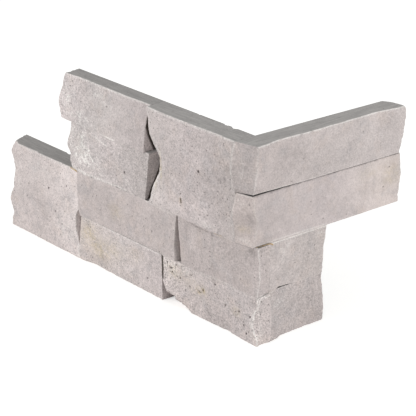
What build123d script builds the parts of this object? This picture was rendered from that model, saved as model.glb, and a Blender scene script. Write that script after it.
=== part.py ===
from build123d import *
import os

# Ledger stone corner: strips of split natural stone, glued bed to bed and end to end into an L
# that wraps the outside corner of a wall. Every stone is sawn on its beds and on its back and
# split on its face. Its ends are sawn or broken.
#
# Frame, in millimetres: Z is up, and the origin is at the foot of the wall's own corner, where
# the two sawn backs meet. The long leg runs to -X with its back at y = 0 and its face toward -Y.
# The return leg runs to +Y with its back at x = 0 and its face toward +X.

# One course, bed to bed, and four courses to the panel
course_height = 37.5

# How far the stones reach from the wall's corner: the panels of a wall interlock, so the lower
# half of the long leg and the upper half of the return are the long ones
upper_long_reach = 209.0
second_strip_setback = 9.0
second_strip_lap = 10.0
left_block_length = 98.0
return_reach = 126.0
lower_return_reach = 53.5

# Vertical joints of the long leg, from the wall's corner
tall_block_joint = 100.0
third_course_joint = 66.5
bottom_course_joint = 85.5

# Depth of each stone, from its sawn back to its split face at the top of the stone
top_left_depth = 14.2
second_left_depth = 16.0
tall_middle_depth = 19.0
tall_left_depth = 18.2
third_middle_depth = 17.0
bottom_middle_depth = 16.5
third_corner_depth = 15.0
bottom_corner_depth = 13.8
top_return_depth = 18.4
second_return_depth = 15.6
third_stub_depth = 17.0
bottom_stub_depth = 14.8

# How far the top return strip stands past the tall block that it covers, and the other strips
# that run through the corner past theirs
top_overrun = 1.0
third_overrun = 1.5
bottom_overrun = 4.6

# Room that the cutting solids leave round a stone
face_room = 8.0
end_room = 16.0

# Heights of the beds, and the joint and the far end of the tall left block
second_bed = course_height
third_bed = 2 * course_height
fourth_bed = 3 * course_height
top_bed = 4 * course_height
left_block_joint = upper_long_reach - second_strip_setback - second_strip_lap
long_reach = left_block_joint + left_block_length


def evenly(offsets, first, last):
    """Pair each offset with its place, spread evenly from first to last."""
    step = (last - first) / (len(offsets) - 1)
    return [(first + step * i, offset) for i, offset in enumerate(offsets)]


def end_edges(place, side, insets, foot, top):
    """One end of a stone seen square to its face, from below its foot to above its top; side
    is +1 for an end that breaks away toward higher places along the leg, -1 for the other."""
    broken = [(place + side * inset, z) for z, inset in evenly(insets, foot, top)]
    below = (broken[0][0], foot - end_room)
    above = (broken[-1][0], top + end_room)
    corners = [below] + broken + [above]
    return [Line(low, high) for low, high in zip(corners, corners[1:])]


def elevation_outline(foot, top, start, end, start_insets, end_insets):
    """Outline of a stone seen square to its face, with room above and below it."""
    left = end_edges(start, 1, start_insets, foot, top)
    right = end_edges(end, -1, end_insets, foot, top)
    head = Line(left[-1] @ 1, right[-1] @ 1)
    sill = Line(left[0] @ 0, right[0] @ 0)
    return make_face(left + [head] + right + [sill])


def plan_outline(start, end, depth, face_wave):
    """Outline of a stone seen from above: flat sawn back, wavy split face."""
    first = start - end_room
    last = end + end_room
    waves = evenly(face_wave, start, end)
    face = Spline(*[(place, depth + wave) for place, wave in waves])
    left = Line((first, 0), (first, depth + face_wave[0]))
    left_face = Line(left @ 1, face @ 0)
    right_face = Line(face @ 1, (last, depth + face_wave[-1]))
    right = Line(right_face @ 1, (last, 0))
    return make_face([left, left_face, face, right_face, right, Line(right @ 1, left @ 0)])


def carried_out(root, broken, spread):
    """Insets of an end beyond the face, in line with those at the back and at the face."""
    return [inner + (outer - inner) * spread for inner, outer in zip(root, broken)]


def stone(elevation, foot, top, start, end, depth, face_wave=(0, 0, 0), lean=0.0,
          start_root=(0, 0), start_break=(0, 0), end_root=(0, 0), end_break=(0, 0)):
    """A stone between two beds, from start to end along its leg.

    A root is how far an end stands in at the stone's back and a break is how far it stands in
    at the face, both at heights spread evenly from foot to top. A face wave is how far the
    face stands out of its depth, at places spread evenly from start to end, and lean is how
    much deeper the face is at the foot than at the top.
    """
    proud = depth + face_room
    spread = proud / depth
    back = elevation_outline(foot, top, start, end, start_root, end_root)
    front = elevation_outline(
        foot, top, start, end,
        carried_out(start_root, start_break, spread),
        carried_out(end_root, end_break, spread),
    )
    ends = loft([elevation * back, elevation.offset(proud) * front], ruled=True)
    outward = elevation.z_dir
    plan = Plane(origin=(0, 0, top), x_dir=elevation.x_dir, z_dir=(0, 0, -1))
    section = plan * plan_outline(start, end, depth, face_wave)
    downward = Vector(0, 0, foot - top) + outward * lean
    bedded = Solid.extrude(section.face(), downward)
    return ends & bedded


def knocked(whole, elevation, points):
    """A stone that has lost a corner along the plane through three points, each given as its
    place along the leg, its height and its depth."""
    first, second, third = [elevation.from_local_coords(point) for point in points]
    across = second - first
    cut = Plane(origin=first, x_dir=across, z_dir=across.cross(third - first))
    side = Keep.TOP if cut.to_local_coords(whole.center()).Z > 0 else Keep.BOTTOM
    return split(whole, bisect_by=cut, keep=side)


def upper_long_stones(long_leg):
    """The top and the second course of the long leg."""
    stones = {}
    stones["top_left_strip"] = stone(
        long_leg, fourth_bed, top_bed, -upper_long_reach, -tall_block_joint, top_left_depth,
        face_wave=(0.2, -0.4, 0.1, 0.5, 0), lean=2.8,
        start_root=(0, 0, 0, 0, 0), start_break=(-2.4, -4.7, -4.7, -0.6, 2.8),
        end_root=(5.3, 0.2), end_break=(5.3, 0.2),
    )
    stones["second_left_strip"] = stone(
        long_leg, third_bed, fourth_bed, second_strip_setback - upper_long_reach,
        -tall_block_joint, second_left_depth,
        face_wave=(-0.2, 0.8, 1.2, 0.4, -0.4), lean=0.8,
        start_root=(0, 0, 0, 0, 0), start_break=(4.0, 0.4, -5.0, -1.3, -0.6),
        end_root=(5.7, 0.8), end_break=(5.7, 0.8),
    )
    stones["tall_middle_block"] = stone(
        long_leg, third_bed, top_bed, -tall_block_joint, 0, tall_middle_depth,
        face_wave=(-0.9, 0.2, 0.3, -0.1, 0.5), lean=-1.2,
        start_root=(0, 1.0, 3.0, 6.0, 8.4, 4.0, 1.6, 0.6, 0.2),
        start_break=(1.4, 4.5, 9.5, 14.5, 17.0, 10.0, 4.6, 3.8, 3.4),
        end_root=(0, 0, 0), end_break=(0.2, 0.5, 0.3),
    )
    return stones


def lower_long_stones(long_leg):
    """The third and the bottom course of the long leg."""
    stones = {}
    left_block = stone(
        long_leg, 0, third_bed, -long_reach, -left_block_joint, tall_left_depth,
        face_wave=(0, 0.2, -0.3, 0, -0.9), lean=0,
        start_root=(0, 0, 0, 0, 0, 0, 0), start_break=(1.4, 3.3, 0.8, 6.5, 9.2, 5.8, 6.6),
        end_root=(0, 0, 0, 0, 0), end_break=(0.3, 1.4, 1.9, 0, 0),
    )
    stones["tall_left_block"] = knocked(left_block, long_leg, (
        (6.3 - long_reach, third_bed, tall_left_depth - 3.6),
        (15.6 - long_reach, third_bed, tall_left_depth),
        (5.0 - long_reach, third_bed - 9.0, tall_left_depth),
    ))
    stones["third_middle_strip"] = stone(
        long_leg, second_bed, third_bed, -left_block_joint, -third_course_joint,
        third_middle_depth,
        face_wave=(1.0, 1.6, -0.2, -0.8, 0.2), lean=-0.6,
        start_root=(0, 0), start_break=(0, 0),
        end_root=(0, 0, 0), end_break=(2.8, 3.0, 0.1),
    )
    stones["bottom_middle_strip"] = stone(
        long_leg, 0, second_bed, -left_block_joint, -bottom_course_joint, bottom_middle_depth,
        face_wave=(1.2, -0.2, -0.2, 0, -0.1), lean=-1.1,
        start_root=(0, 0, 0, 0, 0), start_break=(0, 0, 0, 0.4, 1.6),
        end_root=(0, 0, 0, 0), end_break=(0.9, 1.8, 0.8, 0.3),
    )
    third_corner_end = third_stub_depth + third_overrun
    stones["third_corner_strip"] = stone(
        long_leg, second_bed, third_bed, -third_course_joint, third_corner_end,
        third_corner_depth,
        face_wave=(1.4, 0.8, 0.4, -0.6, -2.4), lean=0.2,
        start_root=(0, 0, 0), start_break=(3.5, 2.6, 0.4),
        end_root=(2.0, 1.6, 1.2, 1.0, 0.8), end_break=(-0.8, -2.3, -2.9, -1.8, 0.2),
    )
    bottom_corner_end = bottom_stub_depth + bottom_overrun
    corner_strip = stone(
        long_leg, 0, second_bed, -bottom_course_joint, bottom_corner_end, bottom_corner_depth,
        face_wave=(-0.4, 0.6, 0.4, -0.8, -0.4), lean=-0.4,
        start_root=(0, 0), start_break=(0.4, 0.6),
        end_root=(0, 0, 0, 0, 0), end_break=(0.2, 3.2, 4.4, 2.2, -0.4),
    )
    stones["bottom_corner_strip"] = knocked(corner_strip, long_leg, (
        (-bottom_course_joint, 0, bottom_corner_depth - 8.4),
        (35.0 - bottom_course_joint, 0, bottom_corner_depth),
        (-bottom_course_joint, 11.0, bottom_corner_depth),
    ))
    return stones


def return_stones(return_leg):
    """The two long strips and the two stubs of the return leg."""
    stones = {}
    top_return_start = -(tall_middle_depth + top_overrun)
    stones["top_return_strip"] = stone(
        return_leg, fourth_bed, top_bed, top_return_start, return_reach, top_return_depth,
        face_wave=(1.8, -0.2, -0.7, -0.8, 0.9), lean=-2.8,
        start_root=(2.8, -1.6, -2.6, -1.7, 1.0), start_break=(5.1, 5.3, 5.4, 5.4, 5.5),
        end_root=(2.6, 2.6, 2.6, 2.6, 2.6), end_break=(2.2, 0.6, -1.0, -2.0, -0.2),
    )
    second_return_start = top_overrun - tall_middle_depth
    stones["second_return_strip"] = stone(
        return_leg, third_bed, fourth_bed, second_return_start, return_reach,
        second_return_depth,
        face_wave=(-0.2, 0, 0, -0.1, -0.3), lean=0.8,
        start_root=(0.2, -0.6, -2.0, -1.6, 1.0), start_break=(2.5, 6.8, 7.9, 5.5, 3.6),
        end_root=(0, 0, 0, 0, 0), end_break=(-1.2, -1.4, -3.0, -2.8, -2.6),
    )
    stones["third_return_stub"] = stone(
        return_leg, second_bed, third_bed, 0, lower_return_reach, third_stub_depth,
        face_wave=(0.4, 0.2, 0.3), lean=-2.2,
        start_root=(0, 0, 0), start_break=(0.8, 0.2, 0.6),
        end_root=(0, 0, 0, 0), end_break=(0.2, 0.8, 0.6, -0.9),
    )
    bottom_stub = stone(
        return_leg, 0, second_bed, 0, lower_return_reach, bottom_stub_depth,
        face_wave=(0.1, 0.1, -0.4), lean=0.5,
        start_root=(0, 0, 0), start_break=(0.4, 0.2, 0.6),
        end_root=(0, 0, 0, 0), end_break=(-0.3, -1.1, -0.4, 0.3),
    )
    stones["bottom_return_stub"] = knocked(bottom_stub, return_leg, (
        (0, 0, bottom_stub_depth - 6.0),
        (11.5, 0, bottom_stub_depth),
        (0, 5.0, bottom_stub_depth),
    ))
    return stones


os.makedirs("parts", exist_ok=True)
every_stone = {
    **upper_long_stones(Plane.XZ),
    **lower_long_stones(Plane.XZ),
    **return_stones(Plane.YZ),
}
for name, solid in every_stone.items():
    solid.label = name
    export_step(solid, f"parts/{name}.step")
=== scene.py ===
import itertools
import math

import bpy
import numpy as np
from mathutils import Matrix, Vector


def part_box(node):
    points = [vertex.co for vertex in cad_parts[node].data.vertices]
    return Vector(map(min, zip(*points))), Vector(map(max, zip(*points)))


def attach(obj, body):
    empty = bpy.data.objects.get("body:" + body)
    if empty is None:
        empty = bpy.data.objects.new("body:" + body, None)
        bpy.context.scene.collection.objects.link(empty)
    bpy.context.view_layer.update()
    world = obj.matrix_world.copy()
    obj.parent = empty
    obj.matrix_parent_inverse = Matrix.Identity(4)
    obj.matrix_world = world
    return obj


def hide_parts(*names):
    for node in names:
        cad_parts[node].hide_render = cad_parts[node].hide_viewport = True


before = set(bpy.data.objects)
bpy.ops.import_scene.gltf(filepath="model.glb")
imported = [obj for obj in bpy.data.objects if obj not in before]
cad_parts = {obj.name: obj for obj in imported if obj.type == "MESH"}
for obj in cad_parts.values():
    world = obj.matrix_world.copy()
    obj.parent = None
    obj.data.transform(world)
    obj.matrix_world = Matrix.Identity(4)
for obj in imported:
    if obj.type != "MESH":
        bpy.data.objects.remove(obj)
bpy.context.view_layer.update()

# A corner of split stone cladding: twelve strips of limestone, glued bed to bed into an L. Every
# stone is built as the skin of a block whose ends, face and arrises are worked out from a few
# given lines, and all of them share one procedural limestone.
#
# Lengths in the tables are millimetres in the frame of the imported model: z up, the wall's own
# corner at x = 0, y = 0. A stone of the long leg runs along x with its face toward -y, a stone of
# the return leg runs along y with its face toward +x.

bl_info = {
    "name": "Ledger stone corner",
    "version": (1, 0, 0),
    "blender": (4, 5, 0),
    "location": "View3D > Sidebar > Ledger stone",
    "description": "Split limestone cladding corner, built stone by stone over the packed model",
    "category": "Object",
}

MM = 0.001
SHARP_ANGLE = math.radians(48)
BEAD_SEED = 91
WHITE = (1, 1, 1, 1)

# Numbers of a colour mix's sockets: the share of the upper colour, the lower and the upper one
SHARE, LOWER, UPPER = 0, 6, 7

# The stage, in metres
FLOOR_REACH = 4.0
FLOOR_GLOW = 0.45
LAMP_SIDE = 1.5
LONG_LAMP_PLACE = (-0.95, -2.3, 0.85)
RETURN_LAMP_PLACE = (2.35, 0.28, 0.9)
MIDDLE_OF_CORNER = (-0.07, 0.02, 0.076)


# Colour and shape helpers

def linear(hex_colour):
    """An sRGB hex colour as linear red, green, blue and an alpha of 1."""
    channels = [int(hex_colour[i:i + 2], 16) / 255 for i in (1, 3, 5)]
    decoded = [c / 12.92 if c <= 0.04045 else ((c + 0.055) / 1.055) ** 2.4 for c in channels]
    return (*decoded, 1.0)


def through(points, at):
    """Smooth line through given (place, value) points: cubic pieces whose slope at each
    point is that of the line through its neighbours, level beyond the first and the last."""
    if np.isscalar(points):
        return np.full(np.shape(at), float(points))
    place, value = np.array(points, float).T
    slope = np.gradient(value, place)
    left = np.clip(np.searchsorted(place, at) - 1, 0, len(place) - 2)
    width = place[left + 1] - place[left]
    u = np.clip((at - place[left]) / width, 0, 1)
    rise = value[left + 1] - value[left]
    start = slope[left] * width
    end = slope[left + 1] * width
    return value[left] + u * (start + u * (3 * rise - 2 * start - end + u * (start + end - 2 * rise)))


def noise(points, size, seed):
    """Gradient noise, about -1 to 1: every corner of a grid of cubes, size millimetres wide,
    has a random slope, and a point blends what the slopes of its cube's eight corners give."""
    slope_count = 256
    wrap = slope_count - 1
    stretch = 1.6
    rng = np.random.default_rng(seed)
    order = rng.permutation(slope_count)
    slopes = rng.normal(size=(slope_count, 3))
    slopes /= np.linalg.norm(slopes, axis=1)[:, None]
    cell = points / size
    base = np.floor(cell).astype(int)
    inside = cell - base
    fade = inside ** 3 * (inside * (inside * 6 - 15) + 10)
    total = np.zeros(len(points))
    for corner in itertools.product((0, 1), repeat=3):
        at = (base + corner) & wrap
        pick = order[at[:, 0]]
        for axis in (1, 2):
            pick = order[(pick + at[:, axis]) & wrap]
        weight = np.prod(np.where(corner, fade, 1 - fade), axis=1)
        total += ((inside - corner) * slopes[pick]).sum(1) * weight
    return total * stretch


def smoothstep(low, high, value):
    """0 below low, 1 above high, and a smooth rise between."""
    u = np.clip((value - low) / (high - low), 0, 1)
    return u * u * (3 - 2 * u)


def dish(across, up, dishes):
    """Hollows knocked out of a surface: each is (centre across, centre up, half width, half
    height, depth) and is deepest at its centre, falling off as a paraboloid."""
    total = np.zeros_like(across)
    for centre, level, half_width, half_height, depth in dishes:
        reach = 1 - ((across - centre) / half_width) ** 2 - ((up - level) / half_height) ** 2
        total = np.maximum(total, depth * np.clip(reach, 0, None))
    return total


def pitted(across, up, pits):
    """Small holes with steep sides and a round floor: each is (centre across, centre up, radius,
    depth), and its depth falls off with the fourth power of the distance."""
    total = np.zeros_like(across)
    for centre, level, radius, depth in pits:
        away = ((across - centre) ** 2 + (up - level) ** 2) / radius ** 2
        total = np.maximum(total, depth * np.exp(-away ** 2))
    return total


def patches(across, up, spots):
    """Soft round patches, added up: each is (centre across, centre up, half width, half height,
    strength)."""
    total = np.zeros_like(across)
    for centre, level, half_width, half_height, strength in spots:
        away = ((across - centre) / half_width) ** 2 + ((up - level) / half_height) ** 2
        total = total + strength * np.exp(-away)
    return total


def nearest_line(across, up, lines):
    """Thin lines on a surface, 0 to 1: each is (from across, from up, to across, to up, half
    width, strength) and fades with the distance from it."""
    total = np.zeros_like(across)
    for x0, z0, x1, z1, half_width, strength in lines:
        run, rise = x1 - x0, z1 - z0
        share = np.clip(((across - x0) * run + (up - z0) * rise) / (run ** 2 + rise ** 2), 0, 1)
        away = (across - x0 - share * run) ** 2 + (up - z0 - share * rise) ** 2
        total = np.maximum(total, strength * np.exp(-away / half_width ** 2))
    return total


def graded(length, step):
    """Shares of the way along a side of a block: a step apart, and closer over the outermost
    four of them at both ends."""
    outermost = 4
    closest = 0.38
    count = int(length / step) + outermost + 1
    from_end = np.minimum(np.arange(count), np.arange(count)[::-1])
    gaps = closest + (1 - closest) * smoothstep(0, outermost, from_end)
    places = np.concatenate([[0], np.cumsum(gaps)])
    return places / places[-1]


def block_skin(sides):
    """The skin of a block that is divided along its three sides as given: for each point of the
    skin its shares along the sides, and outward quads for sides that are left-handed."""
    on_skin = np.zeros([len(side) for side in sides], bool)
    on_skin[[0, -1]] = True
    on_skin[:, [0, -1]] = True
    on_skin[:, :, [0, -1]] = True
    number = np.cumsum(on_skin).reshape(on_skin.shape) - 1
    shares = [side[index] for side, index in zip(sides, np.nonzero(on_skin))]

    def quads(sheet, turn):
        corners = [sheet[:-1, :-1], sheet[1:, :-1], sheet[1:, 1:], sheet[:-1, 1:]]
        if turn:
            corners.reverse()
        return np.stack(corners, -1).reshape(-1, 4)

    skins = [
        quads(number[0], False), quads(number[-1], True),
        quads(number[:, 0], True), quads(number[:, -1], False),
        quads(number[:, :, 0], False), quads(number[:, :, -1], True),
    ]
    return shares, np.concatenate(skins)


# The stones

# leg         "long" or "return"
# start_back, start_face, end_back, end_face
#             (height, place) lines of the two ends, at the sawn back and at the face
# end_bow     how far the end stands out between its back and its face
# top, foot   (place, depth) lines of the face, at the top bed and at the foot bed
# hang        how late the face leaves its top line on the way to its foot line, against 1
# calm        how high the waves of the face are, against the usual
# rough       how far noise wears and chips the start and the end, 0 for a sawn end
# gap         (place, opening) of the joint under the stone's foot, at the face
# knocks      hollows in the face: (place, height, half width, half height, depth)
# back_knocks the same, out of the back
# end_knocks  hollows in the end: (depth, height, half depth, half height, depth)
# pits        small holes in the face: (place, height, radius, depth)
# porous      share of the fine pores in its face
# crush       bruised white patches: (place, height, half width, half height, strength)
# veins       bruised white lines: (place, height, place, height, half width, strength)
# stain       ochre patches, in the form of the white ones
# dark        darker patches, in the same form, below zero for lighter ones: mostly the
#             stone's own tone, with some painted shadow under an overhanging stone and painted
#             shade and highlight on shallow ridges
# seams       lines of dark resin, in the form of the white ones
#             all five also with start_ or end_ before them, for an end: there the depth out of
#             the wall takes the place's part
# end_painted_shadow
#             (height, depth) line on the end: what is deeper is painted with the dark pit colour,
#             a painted shadow deep in a crack, behind the next stone's edge
# lines       how white the arrises at the top, the foot, the start and the end are
# wear        how wide these four arrises are chipped, against the usual
# beds        how light the sawn top and foot are, against the usual: painted shade where a
#             bed lies in a joint, painted light where it shows as a narrow ledge, and the own
#             tone of an exposed top
# start_painted_depth_shade, end_painted_depth_shade
#             how light an end is at the back and at the face, against the usual: painted shade
#             deep in a crack and painted light toward its mouth
# grain       how strong the grain is, against the usual, all over or as (place, value)
# tint        (place, sRGB hex) along the stone
# seed        of its own noise
STONES = {}

STONES["top_left_strip"] = dict(
    leg="long", seed=11, hang=1.2, rough=(0.8, 0), porous=0.15, lines=(0.75, 0.1, 0.35, 0.2),
    # beds: painted shade in the joint under its foot; end depth: painted shade deep in the crack, painted
    # light at its mouth
    beds=(0.84, 0.6), end_painted_depth_shade=(0.6, 1.2),
    grain=((-212, 1.4), (-180, 1.2), (-140, 0.95), (-104, 0.9)),
    start_back=-209,
    start_face=((112.5, -211.5), (118, -213), (124, -214.2), (131, -213.6), (138, -210.4), (145, -208.4),
        (150, -205.8)),
    end_back=((112.5, -105.3), (150, -100.9)),
    end_face=((112.5, -105.3), (142, -102.6), (147, -100.8), (150, -99.6)),
    top=((-206, 15.2), (-189, 13.5), (-165, 14.1), (-145, 14.5), (-125, 14.6), (-102, 14.1)),
    foot=((-211, 16.9), (-188, 16.8), (-148, 18.6), (-132, 18.6), (-105, 17.2)),
    gap=((-211, 0.3), (-192, 0.2), (-182, 0), (-105, 0)),
    pits=((-152, 136, 0.7, 0.6), (-121, 126, 0.6, 0.5), (-200, 141, 0.6, 0.6)),
    crush=((-205, 133, 9, 11, 1.1), (-190, 120, 10, 5, 0.8), (-176, 117, 10, 4, 0.6),
        (-166, 142, 8, 4, 0.9), (-152, 136, 12, 4, 0.35)),
    veins=((-193, 113.2, -176, 113.2, 0.6, 0.9), (-158, 113.6, -152, 113.4, 0.5, 0.7),
        (-150, 113.4, -140, 113, 0.6, 1.3), (-205, 149, -110, 149.3, 0.5, 0.6)),
    # painted shadow deep in its end, inside the crack beside the middle block
    end_painted_shadow=((112.5, 6), (120, 9.6), (127, 12.4), (133, 14.2), (139, 15.2), (150, 10)),
    end_seams=((12.6, 112.8, 7, 112.8, 0.35, 1),),
    dark=((-178, 143, 12, 7, 0.5), (-160, 137, 9, 5, 0.35), (-203, 144, 7, 4, 0.3)),
    tint=((-212, "#d4cac9"), (-160, "#cbc3c1"), (-102, "#c1b7b6")),
)

STONES["second_left_strip"] = dict(
    leg="long", seed=12, rough=(0.8, 0), porous=0.3, lines=(0.25, 0.35, 0.5, 0.2), beds=(1, 0.7),
    # end depth: painted shade deep in the crack
    end_painted_depth_shade=(0.5, 0.98),
    grain=((-203, 1.5), (-170, 1.4), (-140, 1.3), (-104, 1.3)),
    start_back=-200,
    start_face=((75, -195.6), (82, -199.4), (88, -199.9), (93, -204), (98, -202.6), (104.5, -200.2),
        (112.5, -199.5)),
    end_back=((75, -105.7), (112.5, -100.8)), end_face=((75, -105.7), (112.5, -100.8)),
    top=((-201, 15.6), (-188, 16.1), (-148, 18.2), (-132, 18.2), (-103, 15.3)),
    foot=((-198, 18.1), (-189, 18.5), (-174, 19.6), (-159, 17.8), (-145, 16.8), (-123, 16.3),
        (-105, 15.7)),
    pits=((-128.9, 90.2, 0.75, 1.6), (-111.3, 93, 0.45, 0.9), (-143, 101, 0.5, 0.5)),
    crush=((-183, 100, 4, 7, 3), (-188, 92, 4, 4, 2.4), (-176, 92, 5, 5, 3), (-181, 86, 7, 3, 2.6),
        (-168, 88, 6, 3, 1.5), (-163, 92, 9, 6, 0.4), (-196, 98, 4, 7, 0.8), (-170, 108, 12, 3, 0.6),
        (-196, 108, 5, 4, 1), (-160, 82, 10, 4, 0.6)),
    veins=((-196, 76.3, -160, 76.3, 1.1, 0.9), (-160, 76, -128, 76, 0.8, 0.8),
        (-140, 94, -120, 79, 0.6, 0.7), (-126, 104, -118, 92, 0.5, 0.4),
        (-166, 109, -150, 106, 0.7, 0.9)),
    # painted shadow deep in its end, inside the crack beside the middle block
    end_painted_shadow=((75, 15.4), (78, 14.2), (84.3, 12.4), (91, 9), (96.2, 6.6), (100, 5.4), (105, 4.8),
        (109, 5.4), (112.5, 6.2)),
    dark=((-184, 99, 5, 8, 0.6), (-150, 84, 12, 4, 0.3), (-116, 84, 8, 7, 0.3)),
    tint=((-203, "#cdc5c3"), (-150, "#cac1c0"), (-104, "#bfb7b5")),
)

STONES["tall_middle_block"] = dict(
    leg="long", seed=13, hang=0.9, rough=(0.35, 0.15), porous=0.6, lines=(0.7, 0.1, 0.5, 0.35),
    beds=(0.93, 0.4),
    grain=((-98, 0.8), (-70, 1), (-20, 1.05), (0, 0.9)),
    start_back=((75, -101.5), (82, -99.4), (88, -98), (100, -95), (111, -91.5), (118, -92), (133, -98.5),
        (150, -100.9)),
    start_face=((75, -101.5), (77.5, -99.4), (83.8, -97.5), (89.4, -95.1), (95.8, -90.6), (101.6, -87.2),
        (108.1, -85.2), (113.1, -84.7), (117.4, -86.2), (120.6, -88.4), (124.3, -92), (128.9, -95.7),
        (133, -97.6), (138.7, -98), (144.2, -98.7), (150, -98.9)),
    end_back=0,
    end_face=((75, -0.1), (92, -0.5), (110, -0.2), (130, -0.5), (150, -0.1)),
    top=((-98, 18.2), (-82, 19.2), (-60, 19.2), (-40, 19.3), (-26, 18.8), (-10, 19.2), (0, 19.6)),
    foot=((-98, 16.2), (-65, 17.4), (-48, 18.9), (-27, 18.5), (-6, 17), (0, 16.9)),
    gap=((-98, 0.1), (-56, 0.1), (-50, 0.3), (-30, 0.3), (-22, 0.15), (0, 0.1)),
    knocks=((-22, 112, 17, 16, 0.55), (-12, 96, 9, 11, 0.5), (-48, 75, 7, 2, 0.3),
        (-33, 75, 5, 1.6, 0.3)),
    back_knocks=((-30, 151, 2.6, 2.6, 1.4), (-21, 151, 3.4, 3, 2), (-60, 151, 1.6, 1.8, 0.8)),
    pits=((-38.7, 117.2, 0.7, 4), (-60.2, 89.2, 0.85, 2.6), (-60.2, 87.2, 0.7, 2.6),
        (-60.4, 93.8, 0.4, 0.9), (-78, 139, 0.4, 0.5), (-55, 133, 0.4, 0.6), (-45, 134, 0.6, 0.6),
        (-30, 135, 0.6, 0.6), (-26, 137, 0.6, 0.5), (-31, 85, 0.6, 0.5), (-3.6, 92, 0.7, 0.5)),
    crush=((-88, 96, 4, 7, 0.7), (-94, 84, 4, 6, 0.6), (-30, 79, 14, 3, 0.4), (-4, 92, 3, 14, 0.35)),
    veins=((-95, 88, -84, 104, 0.9, 0.9), (-97, 78, -95, 86, 0.9, 0.7), (-83, 117, -91, 128, 0.7, 0.6),
        (-97, 149, -2, 149.2, 0.5, 0.6), (-3, 145, -2.6, 80, 0.6, 0.3)),
    stain=((-84, 108, 1.4, 12, 0.9), (-91, 92, 1.2, 6, 0.6), (-60.2, 88.4, 1.5, 2.4, 1.2)),
    dark=((-15, 118, 13, 15, 0.5), (-7.2, 129, 1.6, 2.4, 1), (-10.7, 120, 1.4, 2.4, 1.1),
        (-17.9, 116.6, 3.6, 1.6, 0.9), (-21.7, 103, 2.2, 2.2, 0.8), (-25.3, 129, 2.8, 1.6, 0.7),
        (-18.9, 134, 2.6, 1.6, 0.6), (-32.7, 112.4, 4, 2.6, 0.4), (-8, 100, 4, 5, 0.3),
        (-60, 112, 14, 10, 0.25), (-74, 83, 22, 8, -0.6), (-40, 90, 18, 10, -0.4)),
    tint=((-98, "#cbc2c0"), (-50, "#c6bcbb"), (0, "#bdb4b2")),
)

STONES["tall_left_block"] = dict(
    leg="long", seed=14, rough=(0.9, 0.15), porous=0.4, lines=(0.5, 0.25, 0.35, 0.45), beds=(0.84, 1),
    grain=0.95, start_back=-288,
    start_face=((0, -286.6), (7, -285.6), (13, -284.8), (19.5, -287.5), (27, -287.2), (35.5, -281.8),
        (43, -281), (50.5, -278.8), (56, -280), (63, -282.3), (70, -283.6), (75, -281.4)),
    end_back=-190,
    end_face=((0, -190.1), (12, -190.1), (15, -190.9), (18, -192), (23, -193.8), (28, -194.9),
        (33, -194.9), (38, -193.4), (41, -190.9), (44, -190.1), (75, -190)),
    top=((-282, 18), (-255, 18.3), (-215, 18), (-190, 17.3)),
    foot=((-287, 18.2), (-240, 17.9), (-190, 17.5)),
    knocks=((-286, 78, 13, 12, 3.9),),
    back_knocks=((-226, 76, 3.2, 2.2, 1.2), (-216, 76, 2, 1.6, 0.7)),
    pits=((-230.4, 48.5, 0.75, 1.4), (-205.6, 57.3, 0.6, 1.1), (-222.1, 30.9, 0.7, 1.2),
        (-213.5, 22.4, 0.6, 1), (-258.9, 44.5, 0.6, 0.9), (-230.2, 24, 0.55, 0.8), (-224, 40, 0.6, 0.6),
        (-213, 66, 0.6, 0.6), (-262, 33, 0.6, 0.6), (-228, 36, 0.6, 0.5), (-219, 26, 0.6, 0.6),
        (-199, 31, 0.6, 0.6)),
    crush=((-277, 45, 6, 14, 0.45), (-240, 62, 20, 8, 0.35), (-206, 22, 12, 12, 0.45)),
    veins=((-272, 74, -192, 74.2, 0.5, 0.6), (-191, 2, -191, 12, 0.9, 1),
        (-194.5, 20, -195, 40, 0.8, 0.7)),
    # painted shadow deep in its end, inside the crack beside the strips to its right
    end_painted_shadow=((12, 12), (14.6, 12.6), (16, 17.6), (17.4, 12.6), (20, 12), (27, 12.2), (29.5, 13.5),
        (34, 13.8), (38, 14.3), (41, 15.2), (45, 16)),
    dark=((-248, 34, 8, 7, 0.5), (-235, 28, 8, 9, 0.35), (-262, 20, 12, 5, 0.3), (-232, 9, 14, 6, 0.35),
        (-215, 42, 8, 8, 0.25)),
    tint=((-286, "#d2c8c6"), (-240, "#cfc5c3"), (-208, "#dcd2d0"), (-192, "#e6dcda")),
)

STONES["third_middle_strip"] = dict(
    leg="long", seed=15, rough=(0.2, 0.12), calm=0.6, porous=0.12, lines=(0.2, 0.25, 0.2, 0.2),
    # beds: painted shade in its joints; end depth: painted shade deep in its crack
    wear=(0.6, 0.3, 0.5, 0.6), beds=(0.5, 0.6), grain=0.8, end_painted_depth_shade=(0.6, 1), start_back=-190,
    start_face=((37.5, -188.2), (40, -189), (43, -189.9), (62, -190), (75, -189.8)),
    end_back=-66.5,
    end_face=((37.5, -69.3), (50, -69.6), (64, -68.6), (75, -66.6)),
    top=((-190, 18.4), (-174, 19.4), (-159, 17.7), (-145, 16.8), (-123, 16.3), (-103, 15.8), (-85, 16.2),
        (-67, 17.2)),
    foot=((-190, 17.6), (-160, 16), (-128, 15.6), (-83, 15.7), (-67, 16.8)),
    pits=((-98, 52, 0.7, 0.6), (-120, 61, 0.6, 0.5)),
    veins=((-105, 74, -70, 74, 0.6, 0.4),), stain=((-142, 54, 8, 6, 0.45),),
    dark=((-150, 58, 20, 8, 0.3), (-100, 55, 18, 10, 0.2)),
    tint=((-190, "#c8bebc"), (-120, "#c6bcba"), (-67, "#c2b8b6")),
)

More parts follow.
